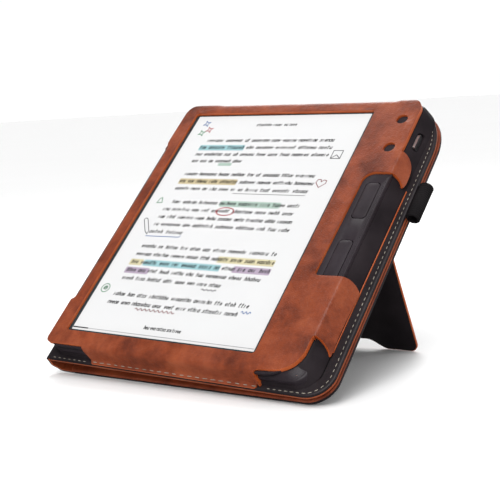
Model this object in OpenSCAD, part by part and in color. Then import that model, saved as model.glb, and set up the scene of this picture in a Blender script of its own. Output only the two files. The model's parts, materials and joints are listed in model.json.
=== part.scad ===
// E-reader in a leather folio, leaning back on the fold-out stand of its own cover.
// Reader directions: x runs right along the screen, y up the screen, z out of the screen.
// z = 0 is the front of the leather frame and x = y = 0 is the middle of its window.

/* [Reader] */
// Distance from the window's middle to the reader's left side
reader_left = 62.1; // [60:0.1:64]
// Distance from the window's middle to the reader's grip side
reader_right = 82.5; // [80:0.1:84]
// Height of the reader along the screen
reader_h = 161; // [158:0.5:162]
// Depth of the reader's front below the leather frame's front
reader_front = 1.3; // [1.2:0.1:1.5]
// Depth of the reader's back below the leather frame's front
reader_back = 9.0; // [8.8:0.1:9]
// Width of the clear film over the screen
film_w = 112; // [110:0.5:113]
// Height of the clear film over the screen
film_h = 147; // [145:0.5:148]
// How far each page button travels
page_travel = 0.5; // [0.3:0.1:0.6]
// How far the power button travels
power_travel = 0.5; // [0.3:0.1:0.6]

/* [Leather case] */
// Width of the window in the leather frame
window_w = 108.5; // [107:0.5:110]
// Height of the window in the leather frame
window_h = 143.9; // [142:0.1:145]
// Thickness of the frame's leather
leather_t = 1.2; // [1:0.1:1.2]
// Height of the back panel and of the cover
panel_h = 168; // [166:1:170]
// Distance from the window's middle to the back panel's right edge
panel_right = 89.6; // [88:0.1:91]
// Distance from the window's middle to the back panel's left edge
panel_left = 64.2; // [64:0.1:65]
// Thickness of the back panel
panel_t = 2.4; // [2.2:0.1:2.6]
// Round of the panel's and the cover's free corners
panel_r = 12; // [8:1:14]
// Radius of the two round holes in the frame
hole_r = 2.9; // [2.5:0.1:3.2]
// Length of the elastic pen loop
loop_len = 20; // [16:1:24]

/* [Spine and cover] */
// Pitch of the three folds of the soft spine
fold = 5; // [4.8:0.1:5.2]
// Thickness of the spine's leather
spine_t = 1.4; // [1.2:0.1:1.6]
// Thickness of the cover
cover_t = 2.6; // [2.4:0.1:2.8]
// Width of the cover from its fold to its free edge
cover_w = 147; // [144:1:148]
// Angle by which the soft fold holds the case off the cover
splay = 2; // [1:0.5:3]

/* [Stand] */
// Angle between the cover and the floor
tilt = 42; // [40:1:44]
// Distance from the cover's lower edge up to the stand's hinge
hinge_up = 99; // [97:1:101]
// Angle between the open stand and the vertical
stand_lean = 23.8; // [22:0.1:25]
// Width of the stand
stand_w = 115; // [100:1:118]
// Thickness of the stand
stand_t = 1.8; // [1.6:0.1:2]

/* [Hidden] */
$fn = 48;

leather = [0.57, 0.27, 0.17];
black_leather = [0.19, 0.16, 0.18];
dark_plastic = [0.16, 0.13, 0.15];
thread_c = [0.75, 0.73, 0.69];

// Levels through the case, measured from the frame's front.
panel_top = -reader_back;
panel_mid = panel_top - panel_t / 2;
wall_x0 = -64.0;
wall_x1 = 84.4;
wall_y = 82.2;
wall_t = 1.2;
wall_r = 8;
flange_t = 0.6;
lining_t = 0.5;
skin_t = 0.7;
frame_right = 79.6;
split_z = -4.6;

// Places in the reader.
grip_x = 71.5;
button_len = 21;
button_w = 7;
button_y = [15.5, -18.5];
page_clear = 0.25;
power_x = 66;
power_y = 58;
power_r = 4;
usb_y = 55.4;
usb_w = 9;
usb_h = 3.2;
usb_z = -6.25;
screw_at = [[-57, -70], [-57, 70], [60, -75], [60, 75], [78, -62], [78, 70]];

// The soft spine's three strips, from the panel down to the cover, as directions in x and z.
spine_dir = [262, 316, 355];
strip_w = fold - 1.8;
fold_gap = 1.2;
cover_hinge = [-57.2, -18.7];
function step_of(i) = [fold * cos(spine_dir[i]), fold * sin(spine_dir[i])];
fold_3 = cover_hinge - step_of(2);
fold_2 = fold_3 - step_of(1);
fold_1 = fold_2 - step_of(0);
case_hinge = [-panel_left - fold_gap, panel_mid];

// The cover and its stand.
cover_left = cover_hinge[0] + fold_gap;
cover_rear = cover_hinge[1] - cover_t / 2;
cover_bottom = -panel_h / 2 + 0.3;
stand_axis_y = cover_bottom + hinge_up;
stand_axis_z = cover_rear - 1.1;
stand_x = cover_left + cover_w / 2 + 1.4;
stand_gap = 1.4;
stand_skin = 0.4;
foot_w = 18;
arch_rise = 5;

// Heights over the floor before the model is lifted on to it.
function height_of(y, z) = y * sin(tilt) + z * cos(tilt);
function depth_of(y, z) = y * cos(tilt) - z * sin(tilt);
floor_z = height_of(cover_bottom, cover_rear);
axis_up = height_of(stand_axis_y, stand_axis_z) - floor_z;
stand_len = (axis_up - stand_t / 2 * sin(stand_lean)) / cos(stand_lean);
stand_open = 90 - tilt + stand_lean;

// The origin is under the middle of the whole object.
loop_rx = 5.2;
loop_rz = 3.2;
loop_t = 0.8;
loop_x = panel_right + loop_rx - 0.4;
loop_y = 22.5;
flap_y = -wall_y - leather_t - 0.1;
flap_x = [-38, 59];
function case_z(x, z) =
    fold_1[1] - (x - case_hinge[0]) * sin(splay) + (z - case_hinge[1]) * cos(splay);
x_low = fold_1[0] + (fold + strip_w) / 2 * cos(spine_dir[0])
    - spine_t / 2 * abs(sin(spine_dir[0]));
x_high = fold_1[0] + (loop_x + loop_rx - case_hinge[0]) * cos(splay);
y_low = depth_of(flap_y, case_z(flap_x[0], 0));
y_high = depth_of(-cover_bottom, cover_rear);
mid_x = (x_low + x_high) / 2;
mid_y = (y_low + y_high) / 2;

module on_floor() {
    translate([-mid_x, -mid_y, -floor_z]) rotate([tilt, 0, 0]) children();
}

module case_place() {
    on_floor()
        translate([fold_1[0], 0, fold_1[1]])
            rotate([0, splay, 0])
                translate([-case_hinge[0], 0, -case_hinge[1]]) children();
}

module stand_place() {
    on_floor() translate([stand_x, stand_axis_y, stand_axis_z]) rotate([stand_open, 0, 0]) children();
}

// Outlines and plates.
module corner_cut(x, y, sx, sy, r) {
    translate([x, y]) difference() {
        translate([sx > 0 ? -0.01 : -r, sy > 0 ? -0.01 : -r]) square(r + 0.01);
        translate([sx * r, sy * r]) circle(r);
    }
}

// Rectangle with its own round at each corner: lower left, lower right, upper right, upper left.
module panel_shape(x0, x1, y0, y1, r) {
    difference() {
        translate([x0, y0]) square([x1 - x0, y1 - y0]);
        if (r[0] > 0) corner_cut(x0, y0, 1, 1, r[0]);
        if (r[1] > 0) corner_cut(x1, y0, -1, 1, r[1]);
        if (r[2] > 0) corner_cut(x1, y1, -1, -1, r[2]);
        if (r[3] > 0) corner_cut(x0, y1, 1, -1, r[3]);
    }
}

module level(z0, z1) {
    translate([0, 0, z0]) linear_extrude(z1 - z0) children();
}

module block(x0, x1, y0, y1, z0, z1) {
    translate([x0, y0, z0]) cube([x1 - x0, y1 - y0, z1 - z0]);
}

module window_shape(w, h, r) {
    panel_shape(-w / 2, w / 2, -h / 2, h / 2, [r, r, r, r]);
}

module wall_outline(inset) {
    r = wall_r - inset;
    panel_shape(wall_x0 + inset, wall_x1 - inset, -wall_y + inset, wall_y - inset, [r, r, r, r]);
}

module reader_outline(inset) {
    r = 7 - inset;
    y = reader_h / 2 - inset;
    panel_shape(-reader_left + inset, reader_right - inset, -y, y, [r, r, r, r]);
}

module flange_outline() {
    panel_shape(-panel_left, panel_right, -panel_h / 2, panel_h / 2, [1.5, panel_r, panel_r, 1.5]);
}

// Leather case.
module frame_face() {
    difference() {
        union() {
            panel_shape(wall_x0 - 0.2, frame_right, -wall_y - 0.2, wall_y, [3, 19, 9, 7]);
            panel_shape(frame_right - 5, wall_x1 + 0.9, 30, 45, [0, 3, 6, 0]);
            panel_shape(frame_right - 5, wall_x1 + 0.9, -61, -30, [0, 5, 3, 0]);
            translate([flap_x[0], flap_y]) square([flap_x[1] - flap_x[0], 4]);
        }
        window_shape(window_w, window_h, 1.5);
        panel_shape(65.5, 80, -29.5, 30, [3, 0, 0, 5]);
        translate([79, -29.5]) square([8, 59.5]);
        translate([71, 65.6]) circle(hole_r);
        translate([71.2, 47.4]) circle(hole_r);
    }
}

module front_frame() {
    side_x = wall_x1 + 0.05;
    edge_y = wall_y + 0.05;
    flap_z = panel_top + flange_t + 0.05;
    color(leather) case_place() {
        level(-leather_t, 0) frame_face();
        block(side_x, side_x + 0.85, 31, 41, panel_top + 0.8, -leather_t);
        block(side_x, side_x + 0.85, -58, -31, flap_z, -leather_t);
        block(flap_x[0], flap_x[1], -edge_y - leather_t, -edge_y, flap_z, -leather_t);
        block(flap_x[0], flap_x[1], -panel_h / 2 - 0.1, -edge_y, flap_z, panel_top + 1.4);
    }
}

module side_wall() {
    color(black_leather) case_place() difference() {
        level(panel_top, -leather_t - 0.05) difference() {
            wall_outline(0);
            wall_outline(wall_t);
        }
        block(wall_x1 - 2, wall_x1 + 1, usb_y - 5.2, usb_y + 5.2, usb_z - 2.3, usb_z + 2.3);
    }
}

module flange_strip() {
    color(black_leather) case_place() level(panel_top, panel_top + flange_t) difference() {
        flange_outline();
        wall_outline(-0.05);
    }
}

module edge_thread() {
    z0 = panel_top + flange_t;
    color(thread_c) case_place() {
        block(87.2, 87.6, -70, 70, z0, z0 + 0.25);
        block(-60, -40, -83.4, -83.0, z0, z0 + 0.25);
        block(-60, 74, 83.0, 83.4, z0, z0 + 0.25);
    }
}

module back_layer(z0, z1) {
    level(z0, z1) difference() {
        flange_outline();
        translate([power_x, power_y]) circle(8);
    }
}

module back_lining() {
    color(black_leather) case_place() back_layer(panel_top - lining_t, panel_top);
}

module back_board() {
    color("tan") case_place()
        back_layer(panel_top - panel_t + skin_t, panel_top - lining_t);
}

module back_skin() {
    color(leather) case_place() back_layer(panel_top - panel_t, panel_top - panel_t + skin_t);
}

module loop_shape(inset) {
    r = loop_rz - inset;
    half = loop_rx - loop_rz;
    translate([-half, 0]) circle(r);
    translate([half, 0]) circle(r);
    translate([-half, -r]) square([2 * half, 2 * r]);
}

module pen_loop() {
    color([0.1, 0.09, 0.1]) case_place()
        translate([loop_x, loop_y + loop_len / 2, panel_mid]) rotate([90, 0, 0])
            linear_extrude(loop_len) difference() {
                loop_shape(0);
                loop_shape(loop_t);
                translate([-loop_rx - 1, -4]) square([1.45, 8]);
            }
}

// Reader housings.
module button_hole(i, grow) {
    w = button_w / 2 + grow;
    l = button_len / 2 + grow;
    panel_shape(grip_x - w, grip_x + w, button_y[i] - l, button_y[i] + l, [2, 2, 2, 2]);
}

module screw_posts(r) {
    for (p = screw_at) translate(p) circle(r);
}

module front_housing() {
    front = -reader_front;
    color(dark_plastic) case_place() {
        difference() {
            union() {
                level(front - 1.2, front) panel_shape(
                    -reader_left, reader_right - 4, -reader_h / 2, reader_h / 2, [7, 7, 7, 7]);
                level(split_z, front - 1.2) difference() {
                    reader_outline(0.1);
                    reader_outline(1.4);
                }
                level(front - 1.2, front - 0.9) reader_outline(0.1);
                level(front, front + 0.6) panel_shape(
                    reader_right - 5.7, reader_right - 4.2, -29, 29.5, [0.7, 0.7, 0.7, 0.7]);
            }
            level(front - 2, front + 1) window_shape(film_w + 0.4, film_h + 0.4, 2);
            level(front - 2, front + 1) for (i = [0, 1]) button_hole(i, page_clear);
        }
    }
}

module rear_housing() {
    back = panel_top;
    color(dark_plastic) case_place() difference() {
        union() {
            level(back, back + 1.1) reader_outline(0);
            level(back + 1.1, split_z) difference() {
                reader_outline(0);
                reader_outline(1.4);
            }
        }
        level(back - 1, back + 2) translate([power_x, power_y]) circle(power_r + 0.3);
        level(back - 1, back + 2) screw_posts(1.2);
        block(reader_right - 2, reader_right + 1, usb_y - usb_w / 2 - 0.1,
            usb_y + usb_w / 2 + 0.1, usb_z - usb_h / 2 - 0.1, usb_z + 3);
    }
}

module screen_film() {
    color([0.95, 0.95, 0.95]) case_place()
        level(-2.1, -1.5) window_shape(film_w, film_h, 2);
}

module light_guide() {
    color([0.85, 0.9, 0.92]) case_place() level(-2.7, -2.1) window_shape(film_w - 0.6, film_h - 0.6, 2);
}

module light_strip() {
    color("khaki") case_place() block(-50, 50, -74.9, -74.1, -3.5, -2.9);
}

module epaper_panel() {
    color([0.82, 0.83, 0.8]) case_place() level(-3.6, -2.7) window_shape(110, 146, 1);
}

module front_gasket() {
    color("dimgray") case_place() level(-3.6, -2.9) difference() {
        window_shape(114, 151, 2);
        window_shape(111.8, 150, 2);
    }
}

module midframe() {
    color("silver") case_place() level(-4.4, -3.65) difference() {
        panel_shape(-60.4, 80.8, -78.8, 78.8, [5, 5, 5, 5]);
        for (i = [0, 1]) button_hole(i, 2);
        translate([10, -60]) circle(4);
        screw_posts(1.6);
    }
}

// Electronics in the tray behind the midframe.
board_z = -5.4;

module display_flex() {
    color([0.8, 0.5, 0.2]) case_place() block(-20, 5, 43, 55, board_z - 0.3, board_z);
}

module main_board() {
    color([0.12, 0.35, 0.2]) case_place() level(board_z, board_z + 0.8) difference() {
        panel_shape(-25, 76, 40, 76, [2, 2, 2, 2]);
        translate([power_x, power_y]) circle(power_r + 1.4);
        screw_posts(2);
    }
}

module shield_cans() {
    color("lightgray") case_place() {
        block(8, 30, 46, 70, board_z - 1.4, board_z);
        block(34, 54, 46, 66, board_z - 1.4, board_z);
    }
}

module battery() {
    color([0.2, 0.2, 0.24]) case_place()
        level(-7.7, -4.7) panel_shape(-50, 44, -66, 30, [2, 2, 2, 2]);
}

module battery_plug() {
    color("white") case_place() block(-10, -3, 32, 39, -6.6, -4.8);
}

module usb_port() {
    x1 = reader_right - 0.3;
    color("silver") case_place() difference() {
        block(x1 - 7.3, x1, usb_y - usb_w / 2, usb_y + usb_w / 2, usb_z - usb_h / 2, board_z - 0.02);
        block(x1 - 6.5, x1 + 1, usb_y - 4.15, usb_y + 4.15, usb_z - 1.2, board_z - 0.45);
    }
}

module wifi_antenna() {
    color("goldenrod") case_place() block(-52, -28, 60, 74, -5, -4.7);
}

module hall_sensor() {
    color("black") case_place() block(47, 50, -60, -57, -5.8, -4.8);
}

module button_board() {
    color([0.12, 0.35, 0.2]) case_place() level(-6.2, -5.6) panel_shape(66, 77, -36, 33, [1, 1, 1, 1]);
}

module dome_switches() {
    color("silver") case_place()
        for (y = button_y) translate([grip_x, y, -5.6]) cylinder(h = 0.5, r = 2.2);
}

module power_switch() {
    color("silver") case_place() translate([power_x, power_y, -6.9]) cylinder(h = 1.9, r = 2.2);
}

module housing_screws() {
    color("gray") case_place() for (p = screw_at) translate([p[0], p[1], 0]) {
        translate([0, 0, panel_top + 0.3]) cylinder(h = 3.9, r = 1);
    }
}

// Moving keys of the reader.
module page_button(i) {
    front = -reader_front;
    color([0.2, 0.17, 0.2]) case_place() {
        level(front - 1.9, front + 0.15) button_hole(i, 0);
        translate([grip_x, button_y[i], -4.45]) cylinder(h = 1.4, r = 1.6);
    }
}

module page_button_upper() {
    page_button(0);
}

module page_button_lower() {
    page_button(1);
}

module power_button() {
    color(dark_plastic) case_place() translate([power_x, power_y, panel_top - 0.1]) {
        cylinder(h = 1.4, r = power_r);
    }
}

// Soft spine, one strip for each fold.
module spine_strip(at, turn) {
    color(black_leather) on_floor() translate([at[0], 0, at[1]]) rotate([0, -turn, 0])
        block((fold - strip_w) / 2, (fold + strip_w) / 2, cover_bottom, -cover_bottom,
            -spine_t / 2, spine_t / 2);
}

module spine_inner() {
    spine_strip(fold_1, spine_dir[0]);
}

module spine_middle() {
    spine_strip(fold_2, spine_dir[1]);
}

module spine_outer() {
    spine_strip(fold_3, spine_dir[2]);
}

// Cover, folded round behind the case.
module cover_shape() {
    panel_shape(cover_left, cover_left + cover_w - fold_gap, cover_bottom, -cover_bottom,
        [2, panel_r, panel_r, 2]);
}

module magnet_places() {
    for (y = [-40, 40]) translate([cover_left + cover_w - 14, y - 6]) children();
}

module cover_skin() {
    color(leather) on_floor() level(cover_rear + 2, cover_rear + cover_t) cover_shape();
}

module cover_board() {
    color("tan") on_floor() level(cover_rear + 0.6, cover_rear + 2) difference() {
        cover_shape();
        magnet_places() square([4.1, 12.1]);
    }
}

module cover_lining() {
    color(black_leather) on_floor() level(cover_rear, cover_rear + 0.6) cover_shape();
}

module cover_magnets() {
    color("silver") on_floor() level(cover_rear + 0.7, cover_rear + 1.9)
        magnet_places() translate([0.05, 0.05]) square([4, 12]);
}

// Stand, modelled flat below its hinge and then opened.
module stand_shape() {
    half = stand_w / 2;
    difference() {
        panel_shape(-half, half, -stand_len, -stand_gap, [4, 4, 3, 3]);
        panel_shape(-half + foot_w + 5, half - foot_w - 5, -stand_len - 10,
            -stand_len + arch_rise, [0, 0, 5, 5]);
    }
}

module stand_hinge_strip() {
    color(black_leather) on_floor() level(cover_rear - 0.6, cover_rear) panel_shape(
        stand_x - stand_w / 2, stand_x + stand_w / 2, stand_axis_y + stand_gap,
        stand_axis_y + 12, [2, 2, 2, 2]);
}

module stand_board() {
    half = stand_t / 2 - stand_skin;
    color("tan") stand_place() level(-half, half) stand_shape();
}

module stand_front_skin() {
    color(black_leather) stand_place() level(stand_t / 2 - stand_skin, stand_t / 2) stand_shape();
}

module stand_rear_skin() {
    color(black_leather) stand_place() level(-stand_t / 2, -stand_t / 2 + stand_skin) stand_shape();
}

front_frame();
side_wall();
flange_strip();
edge_thread();
back_lining();
back_board();
back_skin();
pen_loop();
front_housing();
rear_housing();
screen_film();
light_guide();
light_strip();
epaper_panel();
front_gasket();
display_flex();
midframe();
main_board();
shield_cans();
battery();
battery_plug();
usb_port();
wifi_antenna();
hall_sensor();
button_board();
dome_switches();
power_switch();
housing_screws();
page_button_upper();
page_button_lower();
power_button();
spine_inner();
spine_middle();
spine_outer();
cover_skin();
cover_board();
cover_lining();
cover_magnets();
stand_hinge_strip();
stand_board();
stand_front_skin();
stand_rear_skin();
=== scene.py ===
import json
import math
import random

import bmesh
import bpy
from mathutils import Matrix, Vector


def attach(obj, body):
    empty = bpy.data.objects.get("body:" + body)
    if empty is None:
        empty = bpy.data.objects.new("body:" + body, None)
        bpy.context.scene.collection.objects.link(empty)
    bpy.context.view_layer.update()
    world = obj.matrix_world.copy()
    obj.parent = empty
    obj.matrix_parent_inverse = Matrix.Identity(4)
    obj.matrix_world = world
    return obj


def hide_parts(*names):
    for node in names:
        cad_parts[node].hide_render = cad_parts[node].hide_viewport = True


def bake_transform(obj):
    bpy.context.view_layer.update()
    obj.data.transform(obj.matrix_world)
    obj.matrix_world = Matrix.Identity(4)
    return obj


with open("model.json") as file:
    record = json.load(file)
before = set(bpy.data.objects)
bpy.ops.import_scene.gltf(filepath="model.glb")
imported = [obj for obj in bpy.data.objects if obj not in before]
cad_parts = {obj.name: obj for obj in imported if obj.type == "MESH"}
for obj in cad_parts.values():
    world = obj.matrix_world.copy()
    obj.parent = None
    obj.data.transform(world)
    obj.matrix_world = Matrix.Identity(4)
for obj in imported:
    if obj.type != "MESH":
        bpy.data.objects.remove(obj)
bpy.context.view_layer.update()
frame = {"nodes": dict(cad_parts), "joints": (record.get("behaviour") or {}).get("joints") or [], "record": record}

scene = bpy.context.scene
scene.view_settings.view_transform = "Standard"

# Places. Everything is modelled in millimetres in the case's, the cover's or the stand's own directions.
joints = {joint["name"]: joint for joint in frame["joints"]}
mounts = {mount["name"]: mount for mount in frame["record"]["mounts"]}
places = {
    "frontMountY": -77.0,
    "coverHinge": (-57.2, -18.7),
    "standOpen": math.radians(71.8),
    "metre": 0.001,
}


def placeFrom(xAxis, yAxis, zAxis, origin):
    turn = Matrix((xAxis, yAxis, zAxis)).transposed().to_4x4()
    return Matrix.Translation(origin) @ turn @ Matrix.Scale(places["metre"], 4)


yDir = Vector(joints["cover_fold"]["axis"]).normalized()
zDir = -Vector(joints["page_button_upper_press"]["axis"]).normalized()
xDir = yDir.cross(zDir).normalized()
frontMount = Vector(mounts["frame_front"]["pos_m"])
caseOrigin = frontMount - yDir * places["frontMountY"] * places["metre"]
casePlace = placeFrom(xDir, yDir, zDir, caseOrigin)

coverX = Vector((1, 0, 0))
coverZ = coverX.cross(yDir).normalized()
coverFold = Vector(joints["cover_fold"]["pos_m"])
hingeOffset = coverX * places["coverHinge"][0] + coverZ * places["coverHinge"][1]
coverPlace = placeFrom(coverX, yDir, coverZ, coverFold - hingeOffset * places["metre"])

standTurn = Matrix.Rotation(places["standOpen"], 3, "X")
standPlace = placeFrom(
    coverX, standTurn @ yDir, standTurn @ coverZ, Vector(joints["stand_hinge"]["pos_m"])
)

cameraSet = {
    "at": (322.73, -276.52, 331.54),
    "right": (0.81467, 0.40554, -0.41454),
    "down": (0.0528, -0.76372, -0.64338),
    "ahead": (-0.57751, 0.50226, -0.6436),
    "lens": 81.69,
}
caseTurn = Matrix((xDir, yDir, zDir)).transposed()
camera = bpy.data.objects.new("camera", bpy.data.cameras.new("camera"))
camera.data.lens = cameraSet["lens"]
camera.data.sensor_width = 36
camera.data.clip_start = 0.01
camera.matrix_world = Matrix.Translation(casePlace @ Vector(cameraSet["at"])) @ (
    caseTurn
    @ Matrix(
        (
            Vector(cameraSet["right"]),
            -Vector(cameraSet["down"]),
            -Vector(cameraSet["ahead"]),
        )
    ).transposed()
).to_4x4()
scene.collection.objects.link(camera)
scene.camera = camera
print("camera and places ready")


# Materials.
def newMaterial(name, roughness, **constants):
    material = bpy.data.materials.new(name)
    material.use_nodes = True
    shader = material.node_tree.nodes["Principled BSDF"]
    shader.inputs["Roughness"].default_value = roughness
    for socket, value in constants.items():
        shader.inputs[socket.replace("_", " ")].default_value = value
    return material, material.node_tree, shader


def addNode(tree, kind, inputs=None, **settings):
    node = tree.nodes.new(kind)
    for key, value in settings.items():
        setattr(node, key, value)
    for key, value in (inputs or {}).items():
        if isinstance(value, bpy.types.NodeSocket):
            tree.links.new(value, node.inputs[key])
        else:
            node.inputs[key].default_value = value
    return node


def pattern(tree, kind, scale, stretch=(1, 1, 1), turn=(0, 0, 0), **inputs):
    coords = addNode(tree, "ShaderNodeTexCoord")
    mapping = addNode(
        tree, "ShaderNodeMapping",
        {"Vector": coords.outputs["Object"], "Scale": stretch, "Rotation": turn},
    )
    values = {"Vector": mapping.outputs["Vector"], "Scale": scale}
    for key, value in inputs.items():
        values[key.replace("_", " ")] = value
    return addNode(tree, kind, values)


def ramp(tree, factor, *stops):
    node = addNode(tree, "ShaderNodeValToRGB", {"Fac": factor})
    elements = node.color_ramp.elements
    while len(elements) < len(stops):
        elements.new(0.5)
    for element, (at, colour) in zip(elements, stops):
        element.position = at
        if not isinstance(colour, tuple):
            colour = (colour, colour, colour)
        element.color = (*colour, 1)
    return node.outputs["Color"]


def blendColours(tree, factor, first, second, mode="MIX"):
    node = addNode(tree, "ShaderNodeMix", data_type="RGBA", blend_type=mode)
    for index, value in ((0, factor), (6, first), (7, second)):
        if isinstance(value, bpy.types.NodeSocket):
            tree.links.new(value, node.inputs[index])
        elif index == 0:
            node.inputs[0].default_value = value
        else:
            node.inputs[index].default_value = (*value, 1)
    return node.outputs[2]


def addBump(tree, shader, *layers):
    normal = None
    for height, strength, distance in layers:
        inputs = {"Height": height, "Strength": strength, "Distance": distance}
        if normal is not None:
            inputs["Normal"] = normal
        normal = addNode(tree, "ShaderNodeBump", inputs).outputs["Normal"]
    tree.links.new(normal, shader.inputs["Normal"])


def waxedLeather(name, deep, middle, pale, roughness, grain):
    material, tree, shader = newMaterial(name, roughness, Specular_IOR_Level=0.36)
    clouds = pattern(tree, "ShaderNodeTexNoise", 52, Detail=6, Roughness=0.68).outputs["Fac"]
    streaks = pattern(
        tree, "ShaderNodeTexNoise", 160, (1, 0.18, 0.18), Detail=4, Roughness=0.65
    ).outputs["Fac"]
    colour = ramp(tree, clouds, (0.34, deep), (0.5, middle), (0.68, pale))
    streakTone = ramp(tree, streaks, (0.35, 0.8), (0.6, 1.0), (0.8, 1.12))
    colour = blendColours(tree, 0.75, colour, streakTone, "MULTIPLY")
    pores = pattern(tree, "ShaderNodeTexVoronoi", 1500, Randomness=1.0).outputs["Distance"]
    poreTone = ramp(tree, pores, (0.0, 0.82), (0.35, 1.0))
    colour = blendColours(tree, 0.6, colour, poreTone, "MULTIPLY")
    tree.links.new(colour, shader.inputs["Base Color"])
    wear = pattern(tree, "ShaderNodeTexNoise", 90, Detail=6, Roughness=0.7).outputs["Fac"]
    tree.links.new(ramp(tree, wear, (0.3, roughness - 0.07), (0.7, roughness + 0.1)),
                   shader.inputs["Roughness"])
    folds = pattern(tree, "ShaderNodeTexNoise", 420, (1, 0.6, 0.6), Detail=3).outputs["Fac"]
    addBump(tree, shader, (folds, grain, 0.0004), (pores, grain * 0.8, 0.0002))
    return material


def smoothCover(name, deep, pale, roughness, grain, scale=900, gloss=0.5):
    material, tree, shader = newMaterial(name, roughness, Specular_IOR_Level=gloss)
    cloud = pattern(tree, "ShaderNodeTexNoise", 60, Detail=4).outputs["Fac"]
    tree.links.new(ramp(tree, cloud, (0.35, deep), (0.7, pale)), shader.inputs["Base Color"])
    wear = pattern(tree, "ShaderNodeTexNoise", 240, Detail=5, Roughness=0.7).outputs["Fac"]
    tree.links.new(ramp(tree, wear, (0.3, roughness - 0.06), (0.7, roughness + 0.08)),
                   shader.inputs["Roughness"])
    pores = pattern(tree, "ShaderNodeTexNoise", scale, Detail=4).outputs["Fac"]
    addBump(tree, shader, (pores, grain, 0.0003))
    return material


def brushed(name, colour, roughness):
    material, tree, shader = newMaterial(name, roughness, Metallic=1.0)
    lines = pattern(tree, "ShaderNodeTexNoise", 500, (0.05, 1, 1), Detail=3).outputs["Fac"]
    dark = tuple(channel * 0.85 for channel in colour)
    tree.links.new(ramp(tree, lines, (0.3, dark), (0.7, colour)), shader.inputs["Base Color"])
    addBump(tree, shader, (lines, 0.15, 0.0001))
    return material


leatherSet = {
    "deep": (0.12, 0.022, 0.008),
    "middle": (0.225, 0.043, 0.0135),
    "pale": (0.31, 0.07, 0.024),
    "roughness": 0.36,
    "grain": 0.5,
    "edgeDeep": (0.42, 0.075, 0.014),
    "edgePale": (0.52, 0.115, 0.028),
    "blackDeep": (0.012, 0.0085, 0.0105),
    "blackPale": (0.022, 0.016, 0.019),
}
tanLeather = waxedLeather(
    "tanLeather", leatherSet["deep"], leatherSet["middle"], leatherSet["pale"],
    leatherSet["roughness"], leatherSet["grain"],
)
edgePaint = smoothCover(
    "edgePaint", leatherSet["edgeDeep"], leatherSet["edgePale"], 0.42, 0.12, 500
)
blackLeather = smoothCover(
    "blackLeather", leatherSet["blackDeep"], leatherSet["blackPale"], 0.42, 0.25, 1400, 0.3
)
gussetSkin = smoothCover(
    "gussetSkin", leatherSet["blackDeep"], (0.024, 0.018, 0.021), 0.56, 0.06, 700, 0.12
)
matLining = smoothCover("matLining", (0.012, 0.01, 0.011), (0.02, 0.017, 0.018), 0.68, 0.35, 2200, 0.2)
gripPlastic = smoothCover("gripPlastic", (0.02, 0.014, 0.018), (0.028, 0.02, 0.026), 0.42, 0.1, 2600, 0.3)
threadFibre = smoothCover("threadFibre", (0.2, 0.175, 0.14), (0.4, 0.36, 0.3), 0.75, 0.6, 3500)
elasticWeave = smoothCover("elasticWeave", (0.006, 0.005, 0.006), (0.014, 0.012, 0.013), 0.8, 0.5, 4000, 0.12)
pressedCard = smoothCover("pressedCard", (0.36, 0.28, 0.19), (0.5, 0.41, 0.3), 0.85, 0.4, 1200)
# dark film border; round the page it also serves as painted shade for the gap under the leather's rim
filmBorderAndShade = smoothCover("filmBorderAndShade", (0.012, 0.03, 0.036), (0.02, 0.045, 0.052), 0.3, 0.02, 2000)
pageWhite = smoothCover("pageWhite", (0.62, 0.622, 0.624), (0.632, 0.634, 0.636), 0.7, 0.05, 5000)
pageInk = smoothCover("pageInk", (0.008, 0.008, 0.009), (0.02, 0.02, 0.022), 0.8, 0.02, 5000)
clearGuide = smoothCover("clearGuide", (0.7, 0.76, 0.8), (0.78, 0.83, 0.86), 0.2, 0.02, 500)
ledPaste = smoothCover("ledPaste", (0.75, 0.68, 0.35), (0.85, 0.8, 0.5), 0.5, 0.1, 900)
panelGrey = smoothCover("panelGrey", (0.6, 0.61, 0.58), (0.7, 0.71, 0.68), 0.5, 0.05, 3000)
foamBlack = smoothCover("foamBlack", (0.015, 0.015, 0.015), (0.04, 0.04, 0.04), 0.9, 0.7, 3000)
boardGreen = smoothCover("boardGreen", (0.02, 0.12, 0.06), (0.04, 0.2, 0.1), 0.4, 0.3, 800)
flexAmber = smoothCover("flexAmber", (0.5, 0.24, 0.06), (0.66, 0.36, 0.11), 0.35, 0.1, 900)
cellFoil = smoothCover("cellFoil", (0.06, 0.06, 0.08), (0.11, 0.11, 0.13), 0.3, 0.35, 300)
plugWhite = smoothCover("plugWhite", (0.7, 0.7, 0.67), (0.8, 0.8, 0.77), 0.45, 0.1, 1500)
sensorBlack = smoothCover("sensorBlack", (0.02, 0.02, 0.02), (0.035, 0.035, 0.035), 0.5, 0.1, 1500)
stampedSheet = brushed("stampedSheet", (0.68, 0.69, 0.71), 0.35)
plainSteel = brushed("plainSteel", (0.5, 0.5, 0.52), 0.32)
print("materials ready")


# Mesh helpers.
def smoothStep(low, high, value):
    t = min(1, max(0, (value - low) / (high - low)))
    return t * t * (3 - 2 * t)


def filleted(corners, spacing=1.0):
    # corners are (x, y, radius); each is rounded by its radius
    outline = []
    for index, (x, y, radius) in enumerate(corners):
        here = Vector((x, y))
        before = Vector(corners[index - 1][:2]) - here
        after = Vector(corners[(index + 1) % len(corners)][:2]) - here
        before.normalize()
        after.normalize()
        half = math.acos(max(-1, min(1, before.dot(after)))) / 2
        if radius <= 0 or half > 1.5:
            outline.append(here)
            continue
        centre = here + (before + after).normalized() * radius / math.sin(half)
        arm = here + before * radius / math.tan(half) - centre
        turn = math.pi - 2 * half
        if before.x * after.y - before.y * after.x > 0:
            turn = -turn
        steps = max(2, math.ceil(abs(turn) * radius / spacing))
        for step in range(steps + 1):
            outline.append(centre + Matrix.Rotation(turn * step / steps, 2) @ arm)
    return outline


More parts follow.
